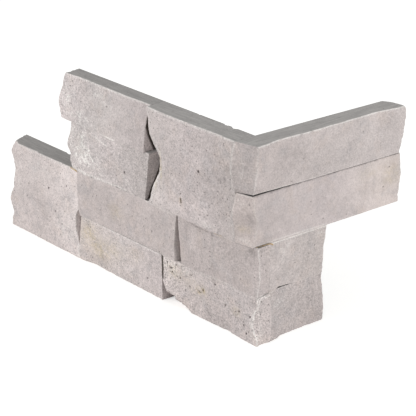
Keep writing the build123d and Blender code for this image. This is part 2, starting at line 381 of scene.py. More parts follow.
STONES["bottom_middle_strip"] = dict(
    leg="long", seed=16, rough=(0.3, 0.15), porous=0.3, lines=(0.2, 0.25, 0.35, 0.2),
    # beds: painted light on the narrow ledge of its top; end depth: painted shade deep in its crack
    wear=(0.3, 1, 0.6, 0.3), beds=(1.3, 1), grain=1.1, end_painted_depth_shade=(0.5, 0.9), start_back=-190,
    start_face=((0, -190), (10, -190), (14, -189.6), (18, -188.9), (24, -188), (30, -187.3),
        (37.5, -186.7)),
    end_back=-85.5,
    end_face=((0, -86.2), (6, -86.6), (12, -86.2), (18, -85.8), (37.5, -85.7)),
    top=((-190, 18), (-170, 16.9), (-158, 16.7), (-128, 16.4), (-86, 16.4)),
    foot=((-190, 17.4), (-185, 17.2), (-174, 14.9), (-160, 14.9), (-145, 15.3), (-120, 15), (-87, 15.4)),
    pits=((-180, 10, 0.6, 0.6), (-104, 12, 0.7, 0.7), (-150, 8, 0.6, 0.6)),
    veins=((-186, 36.5, -150, 36.7, 0.6, 0.3), (-150, 36.7, -88, 36.8, 0.5, 0.7)),
    stain=((-178, 26, 10, 9, 0.7), (-164, 15, 11, 8, 0.75), (-145, 22, 12, 7, 0.4),
        (-120, 26, 10, 6, 0.25)),
    dark=((-162, 5, 14, 4, 0.4), (-112, 30, 12, 5, 0.2)),
    tint=((-190, "#d6cbc7"), (-140, "#d2c9c7"), (-87, "#cdc3c2")),
)

STONES["third_corner_strip"] = dict(
    leg="long", seed=17, rough=(0.3, 0.3), calm=0.7, porous=0.15, lines=(0.1, 0.2, 0.2, 0.5),
    # beds: painted shade in its joints; start depth: painted shade deep in its crack
    wear=(0.8, 0.4, 0.5, 0.5), beds=(0.35, 0.5), grain=0.95, start_painted_depth_shade=(0.6, 0.9), start_back=-66.5,
    start_face=((37.5, -63), (52, -63.9), (64, -65), (75, -66.1)),
    end_back=((37.5, 16.6), (56, 17.3), (75, 17.7)),
    end_face=((37.5, 19.4), (44, 20.3), (51.5, 21.4), (58, 21.2), (66, 20.3), (75, 18.4)),
    top=((-66, 16.4), (-45, 15.8), (-24, 15.5), (-2, 14.6), (18, 12.5)),
    foot=((-64, 15.6), (-40, 16.8), (-19, 14.8), (2, 14), (19, 13.6)),
    knocks=((-40, 76, 14, 3.4, 0.6),),
    pits=((-30, 58, 0.6, 0.5), (-10, 62, 0.6, 0.5)),
    veins=((-26, 70, -29, 48, 0.6, 0.35), (-40, 38.6, -5, 38.5, 0.6, 0.5), (-20, 74.2, -6, 74, 0.8, 0.6)),
    stain=((-18, 74.5, 4, 1.5, 0.8),), end_veins=((8, 38.2, 14, 38.1, 0.4, 1),),
    # (12, 72) is painted shadow under the overhanging corner of the stone above
    end_dark=((12, 72, 5, 4, 0.7), (4, 62, 3, 10, 0.3)),
    seams=((-52.3, 73.8, -45, 72.4, 0.3, 0.4), (-45, 72.4, -35, 72.2, 0.3, 0.5),
        (-35, 72.2, -24, 74, 0.3, 0.35), (-27.6, 72.6, -27.4, 71, 0.6, 0.6)),
    # The narrow upright dark and light streaks are painted shade and painted highlight of shallow ridges
    # and grooves in the face; (13, 71) is painted shadow under the overhanging corner of the stone above
    dark=((-26.8, 66, 1.6, 7, 0.6), (-28, 51, 1.8, 6, 0.7), (-22, 58, 3, 10, 0.25),
        (-30.4, 66, 1.2, 7, -0.5), (-23.6, 64, 1.2, 7, -0.4), (-50, 61, 4, 8, -0.6),
        (-46, 58, 1, 9, -0.4), (-55.5, 66, 2, 7, 0.6), (-38, 60, 3, 12, 0.3), (-42, 50, 1, 6, -0.5),
        (-40, 74.2, 11, 1, -0.5), (13, 71, 6, 5, 1.1)),
    tint=((-66, "#bfb5b3"), (-20, "#beb4b2"), (14, "#bfb5b3"), (17, "#c2b8b6"), (22, "#c2b8b6")),
)

STONES["bottom_corner_strip"] = dict(
    leg="long", seed=18, rough=(0.2, 0.28), porous=0.75, lines=(0.3, 0.15, 0.1, 0.8),
    # beds: painted light on the narrow ledge of its top
    wear=(0.8, 1, 0.2, 1), beds=(1.4, 1),
    grain=((-85, 1.8), (-60, 1.4), (-20, 1.2), (19, 1.4)),
    start_back=-85.5,
    start_face=((0, -78.5), (6, -80.5), (12, -83), (17, -85.2), (20, -85.5), (37.5, -85.5)),
    end_back=((0, 19.6), (28, 19.3), (37.5, 17.8)), end_face=((0, 19.6), (18, 19.2), (37.5, 19.8)),
    top=((-85, 16.1), (-78, 15.6), (-66, 15), (-40, 14.9), (-19, 14.4), (2, 14), (19, 13.6)),
    foot=((-85, 14.6), (-70, 13.8), (-50, 13.3), (-30, 12.6), (-10, 12), (2, 12.8), (18, 13.4)),
    knocks=((-90, -2, 37, 11, 8), (-60, 26, 14, 8, 0.5)),
    end_knocks=((15.8, 17, 6, 13, 4.6), (11, 8, 4, 5, 1), (1, -2, 6, 5, 0.9), (8, -2, 8, 6, 1.7)),
    pits=((-25.9, 33, 0.8, 1), (-39.2, 23.9, 0.7, 2), (-43.6, 21.4, 0.65, 1.6), (-15.6, 20.4, 0.8, 0.9),
        (-4.4, 19, 0.6, 1.2), (-0.1, 20.8, 0.8, 0.9), (-52.8, 31.3, 0.7, 0.8), (-66.4, 24.3, 0.8, 0.8),
        (-55, 21.5, 0.7, 0.8), (-76.3, 29.6, 0.9, 1), (-75, 26.8, 0.8, 0.9), (-79.9, 33.4, 0.9, 1),
        (-3.6, 27.6, 0.7, 0.8), (7.9, 6.5, 0.8, 0.9), (-60, 17, 0.6, 0.6), (5, 12, 0.7, 0.8),
        (-70, 34, 0.7, 0.7), (12, 21, 0.8, 0.9)),
    crush=((16, 12, 4, 9, 0.8), (-60, 33, 14, 4, 0.5), (-78, 30, 8, 7, 0.6)),
    veins=((-85, 35.5, -30, 36.4, 0.6, 0.5), (15, 24, 12, 16, 0.7, 0.7), (12, 16, 14, 6, 0.7, 0.7)),
    end_crush=((12, 26.5, 3, 1.8, 0.7), (11.5, 35.3, 1.6, 1.6, 0.8), (15, 20, 1.6, 6, 0.4)),
    end_veins=((13.5, 37.2, 10.5, 36.5, 0.45, 1.3), (10.5, 36.5, 7, 37, 0.35, 1.5),
        (7, 37, 4.3, 35.8, 0.35, 1.5), (4.3, 35.8, 1.5, 36, 0.35, 1.5), (1.5, 36, 0, 36.2, 0.35, 1.3),
        (12, 36, 12.7, 33, 0.5, 1.2), (12.7, 33.1, 14.1, 30.5, 0.45, 1.5),
        (14.1, 30.5, 15, 28, 0.45, 1.4), (15, 28, 17, 24, 0.5, 1.2), (16.5, 13, 13.5, 6, 0.5, 0.8)),
    end_seams=((10.3, 34.4, 10.4, 33.8, 0.5, 1.1), (11.1, 26.8, 11.1, 25.8, 0.35, 0.9)),
    seams=((-84.9, 36.5, -85, 19, 0.8, 1.6),),
    stain=((-39.2, 23.9, 1.6, 1.6, 1.6), (-43.8, 21.6, 1.8, 1.4, 1.6), (-40, 23, 6, 5, 0.4),
        (-72, 28, 9, 7, 0.5), (-3, 20, 5, 4, 0.5), (-52, 24, 8, 6, 0.35)),
    dark=((-30, 6, 26, 5, 0.35), (-62, 18, 14, 8, 0.3), (10, 8, 7, 7, 0.3)),
    tint=((-85, "#d6ccca"), (-30, "#c9bfbd"), (10, "#c8bfbe"), (16, "#c9bfbd"), (20, "#c9bfbd")),
)

STONES["top_return_strip"] = dict(
    leg="return", seed=19, hang=1.7, rough=(0.15, 0.5), porous=0.02, lines=(0.85, 0.1, 0.25, 0.3),
    wear=(0.8, 0, 0.3, 1), beds=(0.97, 0.6), grain=((-23, 0.85), (-15, 0.8), (-13, 0.65)),
    start_back=((112.5, -17), (115, -20), (124, -22), (131, -22.5), (141, -21.7), (150, -18.8)),
    start_face=((112.5, -14.7), (131, -14.4), (150, -14.3)),
    end_back=((112.5, 122.6), (150, 123.2)), end_bow=2.2,
    end_face=((112.5, 126.8), (116, 127), (122, 127.8), (130, 128.7), (138, 129.2), (144, 129),
        (148, 128.2), (150, 126.8)),
    top=((-14.5, 20.2), (-7, 20.1), (2, 18.3), (41, 18.3), (59, 17.6), (76, 17.4), (110, 17.6),
        (117, 19), (127, 19.2)),
    foot=((-14.7, 15.5), (10, 15.8), (60, 16.1), (100, 15.9), (126, 15.7)),
    gap=((-23, 1.1), (-14, 1.7), (5, 1.5), (30, 1.2), (70, 1), (127, 0.9)),
    veins=((-14.4, 114.1, 20, 114, 0.4, 0.9), (20, 114, 60, 113.9, 0.35, 0.5)),
    pits=((30, 131, 0.6, 0.5), (88, 138, 0.6, 0.5)),
    start_veins=((0.7, 149, 0.5, 126, 0.6, 0.6), (0.6, 126, 1.2, 114, 0.5, 0.4),
        (7, 140, 9, 132, 0.5, 0.35), (9, 132, 7.5, 125, 0.5, 0.35), (7.5, 125, 6, 130, 0.5, 0.3)),
    start_dark=((10, 136, 3, 6, 0.4), (6, 124, 3, 4, 0.3), (15, 118, 4, 5, 0.4), (17, 140, 3, 4, -0.3)),
    dark=((24, 136, 12, 7, 0.35), (52, 128, 16, 6, 0.25), (112, 140, 7, 9, 0.4), (80, 120, 18, 4, 0.2)),
    tint=((-21, "#b7aeac"), (-14.8, "#b7aeac"), (-14, "#c0b6b4"), (60, "#c7bebc"), (126, "#cac1bf")),
)

STONES["second_return_strip"] = dict(
    leg="return", seed=20, rough=(0.2, 0.5), porous=0.03, lines=(0, 0.3, 0.15, 0.3),
    # beds: painted shade in the joints above and below it
    wear=(0.3, 0.2, 0.3, 1), beds=(0.35, 0.6), grain=((-21, 0.8), (-14, 0.75), (-10, 0.5)),
    start_back=((75, -17.6), (88, -18.8), (98.8, -20.9), (104, -19.4), (112.5, -17)),
    start_face=((75, -15.3), (83, -11.5), (91.7, -9.7), (100.4, -11.9), (109.5, -13.1), (112.5, -14.2)),
    end_back=125, end_bow=1,
    end_face=((75, 127.6), (83.5, 128), (90, 128.6), (94, 129.5), (102, 129.4), (112.5, 129)),
    top=((-16, 14.6), (0, 14.3), (60, 14.6), (126, 14.8)),
    foot=((-15, 15.6), (20, 16.3), (60, 16.5), (100, 16.1), (127, 15.8)),
    gap=((-18, 0.15), (-4, 0.15), (4, 0.05), (54, 0), (60, 0)),
    pits=((40, 96, 0.6, 0.5), (118, 104, 0.8, 0.6), (112, 90, 0.7, 0.6)),
    stain=((120, 98, 9, 8, 0.45), (96, 104, 10, 5, 0.25)),
    veins=((4, 76, 54, 76, 0.6, 0.8), (-14, 76, 3, 75.8, 0.7, 0.5)),
    start_veins=((0.6, 111, 0.6, 96, 0.5, 0.45), (2, 111.5, 14, 111.5, 0.5, 0.6),
        (3, 79, 14, 77, 0.8, 0.4)),
    start_crush=((4, 106, 3, 3, 0.5), (8, 79.5, 7, 2, 0.35)),
    start_stain=((5, 87, 3, 3, 0.45), (10, 86, 2.4, 2.4, 0.35), (14.8, 98, 0.8, 6, 0.5)),
    start_dark=((9, 95, 4, 5, 0.7), (12, 92, 2, 3, 0.4)),
    # The two thin dark bands along the top edge are painted shadow under the foot of the stone above; the
    # rest is the stone's own tone
    dark=((0, 112.4, 30, 0.9, 1.5), (80, 112.4, 70, 0.6, 1.5), (112, 94, 7, 6, 0.45),
        (60, 88, 26, 5, 0.15), (124, 106, 5, 6, 0.3)),
    tint=((-20, "#c0b5b2"), (-14, "#c0b5b2"), (-9, "#c3b9b7"), (60, "#c8bebd"), (110, "#d5cac6"),
        (126, "#d4c9c5")),
)

STONES["third_return_stub"] = dict(
    leg="return", seed=21, hang=1.2, rough=(0.2, 0.6), porous=0.05, lines=(0.75, 0.15, 0, 0.3),
    # beds: painted light on the ledge of its top, painted shade in the joint under its foot
    wear=(0.3, 0.8, 0.1, 1), beds=(1.5, 0.4), grain=0.85, start_back=0,
    start_face=((37.5, 0.5), (75, 0.4)), end_back=52.6,
    end_face=((37.5, 53.3), (49, 52.7), (63, 52.8), (75, 54.4)),
    top=((0, 17.5), (30, 17.3), (54, 17.2)),
    foot=((0, 16), (10, 15.3), (30, 15), (54, 14.7)),
    gap=((0, 0), (7, 0), (9, 0.9), (15, 0.8), (21, 0.5), (25, 0), (54, 0)),
    crush=((12, 66, 3, 8, 0.4), (16, 70, 5, 3, 0.4), (48, 70, 5, 3, 0.6)),
    dark=((36, 48, 12, 6, 0.2),), tint=((0, "#c4bbb9"), (54, "#c3bab7")),
)

STONES["bottom_return_stub"] = dict(
    leg="return", seed=22, rough=(0.2, 0.6), porous=0.15, lines=(0.2, 0.1, 0, 0.25),
    wear=(0.5, 1, 0.1, 1), beds=(0.4, 1), grain=1.2, start_back=0, start_face=((0, 0.5), (37.5, 0.5)),
    end_back=52.8,
    end_face=((0, 53.8), (4, 54.6), (17, 54.5), (32, 53.5), (37.5, 53.2)),
    top=((0, 15.4), (10, 14.9), (54, 14.3)),
    foot=((0, 18.6), (4, 18.6), (8, 17.8), (12, 16), (20, 15.4), (54, 15.2)),
    hang=2.6, crush=((10, 28, 6, 6, 0.4),),
    veins=((1, 36, 5.5, 36.3, 0.35, 1), (10, 24.5, 13, 27, 0.4, 0.9), (13, 27, 16, 26, 0.35, 0.8),
        (11, 21, 14, 22.5, 0.4, 0.7), (18, 24, 22, 24.5, 0.35, 0.6)),
    dark=((30, 20, 16, 9, 0.25), (48, 8, 7, 7, 0.3)),
    tint=((0, "#c0b7b5"), (54, "#bcb3b1")),
)


# Noises of a stone: where its seeds begin, counted from seven times the stone's own seed
SEEDS = {
    "start": 1, "end": 2, "face": 3, "knocks": 8, "ragged": 9, "flecks": 10, "end_knocks": 12,
    "back_knocks": 13, "start_chips": 14, "end_chips": 15,
}

# Sizes of the noise that wears an end, waves a face and widens a chipped arris, in millimetres,
# and their shares
END_WAVES = ((9.0, 1.0), (3.6, 0.5), (1.8, 0.3))
FACE_WAVES = ((26.0, 0.45), (11.0, 0.3), (4.8, 0.2), (2.3, 0.15))
ARRIS_WAVES = ((7.0, 0.8), (2.4, 0.6))

# The same for the noise that makes knocked-out hollows uneven, and that frays the marks
UNEVEN = {"knocks": (3.0, 0.2), "end_knocks": (3.0, 0.2), "back_knocks": (1.6, 0.5)}
FRAYED = {"ragged": (5.0, 0.5), "flecks": (1.8, 0.45)}

# How something shows as a value grows: where it begins, where it is all there, and how much
RISES = {
    "flake": (0.45, 0.9, 1.8), "white_line": (-0.8, 0, 1), "crush": (0.2, 0.8, 1),
    "veins": (-0.2, 0.5, 0.6), "stain": (-0.5, 0.7, 1), "dark": (0.3, 0.8, 0.6),
    "chipped": (0.2, 1, 0.5), "rim": (0.05, 0.5, 0.3), "past_rim": (0.9, 2.2, 1),
    "hollow": (0.3, 2.5, 0.08), "resin_and_painted_shadow": (-0.4, 0.3, 1), "pit": (0.15, 0.7, 1),
    "outer": (0, 0.7, 1),
}

# Kinds of marks, and how each is spread over a surface
MARKS = {
    "crush": patches, "veins": nearest_line, "stain": patches, "dark": patches,
    "seams": nearest_line,
}


def own_noise(stone, use, points, size, more=0):
    """Noise that no other stone and no other use shares."""
    return noise(points, size, stone["seed"] * 7 + SEEDS[use] + more)


def knocked_out(stone, use, across, up, points):
    """The hollows in one of a stone's surfaces, made uneven by noise."""
    size, share = UNEVEN[use]
    hollows = dish(across, up, stone.get(use, ()))
    return hollows * (1 + share * own_noise(stone, use, points, size))


def rise(kind, value):
    """How much of something shows, by its row in RISES."""
    low, high, most = RISES[kind]
    return most * smoothstep(low, high, value)


class Skin:
    """The points of a stone's skin: their shares of the way along the leg, out of the wall and
    up, what of the stone they lie on and, in millimetres, their depth out of the sawn back
    (across), their height and how far the nearer bed is."""

    def __init__(self, shares, depth, foot, top):
        self.along, self.out, self.up = shares
        self.across = self.out * depth
        self.from_face = (1 - self.out) * depth
        self.height = foot + self.up * (top - foot)
        self.below_top = top - self.height
        self.above_foot = self.height - foot
        self.from_bed = np.minimum(self.below_top, self.above_foot)
        self.on_face = self.out == 1
        self.on_top = (self.up == 1) & ~self.on_face
        self.on_foot = (self.up == 0) & ~self.on_face
        self.on_bed = self.on_top | self.on_foot | (self.out == 0)
        between = ~self.on_face & ~self.on_bed
        self.on_start = (self.along == 0) & between
        self.on_end = (self.along == 1) & between


def worn_ends(stone, skin):
    """The places of a stone's start and end, and the hollows in its end. At each height an end
    runs straight from its back line to its face line, bowed out as a parabola. Noise wears it
    inward, and chips it where the noise reaches further than the nearer bed."""
    chip_reach, chip_wave, chip_size = 0.5, 0.9, 3.0
    places = []
    for side, inward, apart, rough in zip(("start", "end"), (1, -1), (0, 50), stone["rough"]):
        back = through(stone[side + "_back"], skin.height)
        face = through(stone[side + "_face"], skin.height)
        bow = stone.get(side + "_bow", 0.0) * 4 * skin.out * (1 - skin.out)
        place = back * (1 - skin.out) + face * skin.out - inward * bow
        key = np.stack([skin.across, np.full_like(skin.out, apart), skin.height], 1)
        for size, share in END_WAVES:
            place = place + inward * rough * share * own_noise(stone, side, key, size)
        reach = chip_reach + chip_wave * own_noise(stone, side + "_chips", key, chip_size)
        places.append(place + inward * rough * np.clip(reach - skin.from_bed, 0, None))
    start, end = places
    knocked = knocked_out(stone, "end_knocks", skin.across, skin.height, key)
    return start, end - knocked, knocked


def split_face(stone, skin, relief_height):
    """How far the split face stands out: its depth moves from the top line to the foot line on
    the way down. Four sizes of noise wave it, less so toward the beds, where the face keeps the
    given lines, and the knocks are taken off."""
    at_beds, settled = 0.4, 6
    down = (1 - skin.up) ** stone.get("hang", 1.0)
    face = through(stone["top"], skin.place) * (1 - down) + through(stone["foot"], skin.place) * down
    relief = np.zeros_like(face)
    for number, (size, share) in enumerate(FACE_WAVES):
        relief = relief + share * own_noise(stone, "face", skin.flat, size, number)
    settle = at_beds + (1 - at_beds) * smoothstep(0, settled, skin.from_bed)
    knocked = knocked_out(stone, "knocks", skin.place, skin.height, skin.flat)
    return face + relief_height * stone.get("calm", 1.0) * relief * settle - knocked


def chipped_arrises(stone, skin, distances, usual_wear):
    """What is chipped off along the four arrises of the face, and how white they are. Two sizes
    of noise and a few wider flakes give the width of the chipped strip, and its slope is the
    same everywhere. The white line breaks off here and there."""
    slope, usual, narrowest, line_width = 0.75, 0.55, 0.2, 0.6
    flake_size, break_size = 10.0, 5.0
    seed = stone["seed"]
    chipped = np.zeros_like(skin.place)
    white_line = np.zeros_like(skin.place)
    wears = stone.get("wear", (1.0, 1.0, 0.9, 0.9))
    for number, (away, wear, white) in enumerate(zip(distances, wears, stone["lines"])):
        run = skin.height if number > 1 else skin.place
        key = np.stack([run, np.full_like(run, 100 * number), np.full_like(run, seed)], 1)
        width = usual
        for more, (size, share) in enumerate(ARRIS_WAVES):
            width = width + share * noise(key, size, seed + more)
        width = np.clip(width, narrowest, None)
        width = width + rise("flake", noise(key, flake_size, seed + 2))
        chipped = np.maximum(chipped, slope * np.clip(width * wear * usual_wear - away, 0, None))
        unbroken = rise("white_line", noise(key, break_size, seed + 3))
        near = np.exp(-(away / line_width) ** 2)
        white_line = np.maximum(white_line, white * unbroken * near)
    return chipped, white_line


def stone_finish(stone, skin, chipped, white_line, end_knocked, holes):
    """What the surface is like at every point, as the values that the limestone reads. Marks lie
    on the face by place and height and on an end by depth and height, and noise frays them."""
    edge_width, darkest, least_dark, bed_pores = 0.7, 0.3, 0.4, 0.15
    zero = np.zeros_like(skin.place)
    ragged = 0.5
    for use, (size, share) in FRAYED.items():
        ragged = ragged + share * own_noise(stone, use, skin.flat, size)
    marks = {}
    for kind, spread in MARKS.items():
        on_ends = [spread(skin.across, skin.height, stone.get(side + kind, ()))
                   for side in ("start_", "end_")]
        on_face = spread(skin.place, skin.height, stone.get(kind, ()))
        marks[kind] = np.select([skin.on_bed, skin.on_start, skin.on_end], [zero, *on_ends], on_face)

    top_line, _, start_line, end_line = stone["lines"]
    beside = np.select([skin.on_start, skin.on_end, skin.on_top], [start_line, end_line, top_line])
    beside = beside * np.exp(-(skin.from_face / edge_width) ** 2)
    white_line = np.where(skin.on_face, white_line, beside)
    line = np.maximum(white_line, marks["veins"] * rise("veins", ragged))
    bruise = marks["crush"] * rise("crush", ragged)
    bruise = np.maximum(bruise, rise("chipped", chipped) * skin.on_face)
    rim = rise("rim", end_knocked) * (1 - rise("past_rim", end_knocked))
    bruise = np.maximum(bruise, skin.on_end * (rim + rise("hollow", end_knocked)))
    # Dark resin along the seams; on an end, painted shadow deep in a crack: dark behind a given line that
    # follows the edge of the next stone
    resin_and_painted_shadow = marks["seams"]
    if "end_painted_shadow" in stone:
        behind = through(stone["end_painted_shadow"], skin.height) - skin.across
        resin_and_painted_shadow = np.where(skin.on_end, rise("resin_and_painted_shadow", behind), resin_and_painted_shadow)

    # Darker and lighter patches: mostly the stone's own tone, with some painted shadow and painted
    # highlight among them
    shade = 1 - darkest * marks["dark"] * (least_dark + rise("dark", ragged))
    # The sawn beds: painted shade where a bed lies in a joint, painted light where it shows as a narrow
    # ledge
    light_top, light_foot = stone["beds"]
    shade = np.where(skin.on_top, light_top, np.where(skin.on_foot, light_foot, shade))
    # Painted shade deep in an end that lies inside a crack, and painted light toward its mouth
    for at_end, label in ((skin.on_start, "start_painted_depth_shade"), (skin.on_end, "end_painted_depth_shade")):
        deep, outer = stone.get(label, (1.0, 1.0))
        lit = deep + (outer - deep) * rise("outer", skin.out)
        shade = np.where(at_end, shade * lit, shade)
    return {
        "sawn": skin.on_bed, "shade": shade, "bruise": bruise, "line": np.clip(line, 0, 1),
        "stain": np.clip(marks["stain"] * rise("stain", ragged), 0, 1),
        # the pits, and on an end the painted shadow deep in a crack
        "pit": np.maximum(rise("pit", holes) * skin.on_face, resin_and_painted_shadow),
        "porous": np.where(skin.on_bed, bed_pores, stone["porous"]),
        "grain": through(stone["grain"], skin.place),
    }


def stone_shape(name, sizes):
    """The skin of one stone, and what its surface is like at every point.

    The block's sides are along the leg, out of the wall and up. A point's place lies between the
    worn ends, by its share along the leg. Its depth lies between the sawn back, less what is
    knocked out of it, and the split face, less the chipped arrises and the pits. Where the joint
    under the stone stands open, the foot's outer edge is raised.
    """
    at_foot = 8
    stone = STONES[name]
    low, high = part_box(name)
    foot, top = low.z / MM, high.z / MM
    middle = (foot + top) / 2
    first = float(through(stone["start_face"], middle))
    length = float(through(stone["end_face"], middle)) - first
    depth = float(through(stone["top"], first + length / 2))
    step = sizes.grid / MM
    shares, quads = block_skin([graded(side, step) for side in (length, depth, top - foot)])

    skin = Skin(shares, depth, foot, top)
    start, end, end_knocked = worn_ends(stone, skin)
    skin.place = start + skin.along * (end - start)
    skin.flat = np.stack([skin.place, np.zeros_like(skin.place), skin.height], 1)
    distances = (skin.below_top, skin.above_foot, skin.place - start, end - skin.place)
    chipped, white_line = chipped_arrises(stone, skin, distances, sizes.arris_wear / MM)
    holes = pitted(skin.place, skin.height, stone.get("pits", ()))
    face = split_face(stone, skin, sizes.relief / MM) - chipped - holes
    back = knocked_out(stone, "back_knocks", skin.place, skin.height, skin.flat)
    stand_out = back + skin.out * (face - back)
    opening = through(stone.get("gap", 0.0), skin.place)
    skin.height = skin.height + opening * skin.out * (1 - skin.up) ** at_foot

    finish = stone_finish(stone, skin, chipped, white_line, end_knocked, holes)
    tint_places = [at for at, _ in stone["tint"]]
    tints = np.array([linear(colour) for _, colour in stone["tint"]])
    tint = np.stack([np.interp(skin.place, tint_places, channel) for channel in tints.T], 1)
    own = np.stack([skin.place, stand_out, skin.height], 1)
    points = own[:, [1, 0, 2]]
    if stone["leg"] == "long":
        points = own * (1, -1, 1)
    return points * MM, quads, finish, tint, own * MM


def add_mesh(name, points, *faces):
    """A closed mesh object at the origin, from an array of points in metres and arrays of faces,
    each with as many columns as its faces have corners."""
    sides = np.concatenate([np.full(len(group), group.shape[1]) for group in faces])
    corners = np.concatenate([group.ravel() for group in faces])
    mesh = bpy.data.meshes.new(name)
    mesh.vertices.add(len(points))
    mesh.vertices.foreach_set("co", points.astype(np.float32).ravel())
    mesh.loops.add(len(corners))
    mesh.loops.foreach_set("vertex_index", corners.astype(np.int32))
    mesh.polygons.add(len(sides))
    mesh.polygons.foreach_set("loop_start", (np.cumsum(sides) - sides).astype(np.int32))
    mesh.polygons.foreach_set("use_smooth", np.ones(len(sides), bool))
    mesh.update(calc_edges=True)
    piece = bpy.data.objects.new(name, mesh)
    bpy.context.scene.collection.objects.link(piece)
    return piece


def add_stone(name, settings):
    """One stone in place of its CAD node."""
    points, quads, finish, tint, own = stone_shape(name, settings)
    piece = add_mesh(f"{name}_split", points, quads)
    mesh = piece.data
    for label, values in finish.items():
        attribute = mesh.attributes.new(label, "FLOAT", "POINT")
        attribute.data.foreach_set("value", np.asarray(values, np.float32))
    for label, kind, key, values in (
            ("tint", "FLOAT_COLOR", "color", tint), ("own_place", "FLOAT_VECTOR", "vector", own)):
        attribute = mesh.attributes.new(label, kind, "POINT")
        attribute.data.foreach_set(key, values.astype(np.float32).ravel())
    mesh.set_sharp_from_angle(angle=SHARP_ANGLE)
    mesh.materials.append(limestone(settings))
    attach(piece, "root")
    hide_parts(name)


# Beads of adhesive that were squeezed out of a joint: points of the bead's middle line and its
# half width there, in millimetres of the model's frame
BEADS = {
    "adhesive_bead_return": (
        (16.3, -12.5, 75.0, 0.05), (16.6, -10.5, 75.1, 0.12), (16.9, -8, 75.1, 0.2),
        (17.0, -4, 75.2, 0.28), (17.3, -1, 75.1, 0.36), (17.8, 1.2, 74.7, 0.45),
        (18.0, 2.0, 74.0, 0.35), (18.0, 2.1, 73.4, 0.1),
    ),
    "adhesive_bead_left": (
        (-200.5, -17.6, 75.1, 0.1), (-198, -18.1, 75.2, 0.3), (-195, -18.5, 75.1, 0.45),
        (-191, -18.6, 74.9, 0.5), (-189.5, -18.8, 74.5, 0.3), (-188.5, -19.0, 74.3, 0.1),
    ),
    "adhesive_bead_middle": (
        (-25, -17.4, 75.2, 0.1), (-22, -17.3, 75.2, 0.3), (-19, -17.0, 75.1, 0.35),
        (-16, -16.8, 75.1, 0.3), (-12, -16.6, 75.0, 0.1),
    ),
}


def add_bead(name, settings):
    """A bead of adhesive: a round section, a little ragged, carried along its middle line and
    closed at both ends by running down to nearly nothing."""
    around, rows = 14, 60
    raggedness, lump = 0.16, 1.4
    line = np.array(BEADS[name])
    knots = np.arange(len(line))
    at = np.linspace(0, len(line) - 1, rows)
    route = np.stack([through(np.stack([knots, values], 1), at) for values in line.T], 1)
    middle, half_width = route[:, None, :3], route[:, 3][:, None, None]
    forward = np.gradient(route[:, :3], axis=0)
    forward /= np.linalg.norm(forward, axis=1)[:, None]
    side = np.cross(forward, (0, 0, 1.0))
    side /= np.linalg.norm(side, axis=1)[:, None]
    above = np.cross(side, forward)
    angle = np.linspace(0, 2 * np.pi, around, endpoint=False)[None, :, None]
    ring = np.cos(angle) * side[:, None] + np.sin(angle) * above[:, None]
    tube = middle + ring * half_width
    flat = tube.reshape(-1, 3)
    flat = flat + raggedness * noise(flat, lump, BEAD_SEED)[:, None] * ring.reshape(-1, 3)
    points = np.concatenate([flat, [tube[0].mean(0), tube[-1].mean(0)]])

    turn = np.arange(around)
    beside = (turn + 1) % around
    row = around * np.arange(rows - 1)[:, None]
    quads = np.stack([row + turn, row + beside, row + around + beside, row + around + turn], -1)
    last = around * (rows - 1)
    first_middle = np.full(around, around * rows)
    caps = np.concatenate([
        np.stack([beside, turn, first_middle], 1),
        np.stack([last + turn, last + beside, first_middle + 1], 1),
    ])
    piece = add_mesh(name, points * MM, quads.reshape(-1, 4), caps)
    piece.data.materials.append(cured_adhesive(settings))
    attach(piece, "root")


# Materials

def empty_tree(owner):
    """The node tree of a material or a world, with nothing in it."""
    owner.use_nodes = True
    owner.node_tree.nodes.clear()
    return owner.node_tree


def add(tree, kind, settings, sockets):
    """A node with its settings and its sockets, each set to a value or linked to an output.
    Gives its first output."""
    node = tree.nodes.new(kind)
    for key, value in settings.items():
        setattr(node, key, value)
    for key, value in sockets.items():
        if isinstance(value, bpy.types.NodeSocket):
            tree.links.new(value, node.inputs[key])
        else:
            node.inputs[key].default_value = value
    return next((socket for socket in node.outputs if socket.enabled), None)


# Noise of the limestone: size in millimetres, detail, roughness
GRAINS = {
    "fine": (1.15, 2.0, 0.6), "coarse": (2.4, 2.0, 0.55), "blotch": (6.5, 2.0, 0.5),
    "cloud": (22.0, 2.0, 0.5), "warmth": (14.0, 3.0, 0.5), "coolness": (11.0, 3.0, 0.5),
    "crystal": (2.1, 3.0, 0.7), "rust": (3.4, 3.0, 0.5), "knobs": (3.8, 3.0, 0.5),
}

# How a value is turned into another: from, its low and high, and what they become
RANGES = {
    "warm": ("warmth", 0.5, 0.72, 0.0, 0.35), "cool": ("coolness", 0.28, 0.48, 0.35, 0.0),
    "streak": ("saw_marks", 0.3, 0.7, 0.0, 1.0), "rusty": ("rust", 0.35, 0.65, 0.25, 0.75),
    "crystals": ("crystal", 0.44, 0.58, 0.12, 1.0), "dot": ("pore_middle", 0.09, 0.2, 0.75, 0.0),
    "calm": ("sawn", 0.0, 1.0, 1.0, 0.45), "rough": ("coarse", 0.3, 0.7, 0.82, 0.94),
    "keen": ("sawn", 0.0, 1.0, 1.0, 0.2),
}

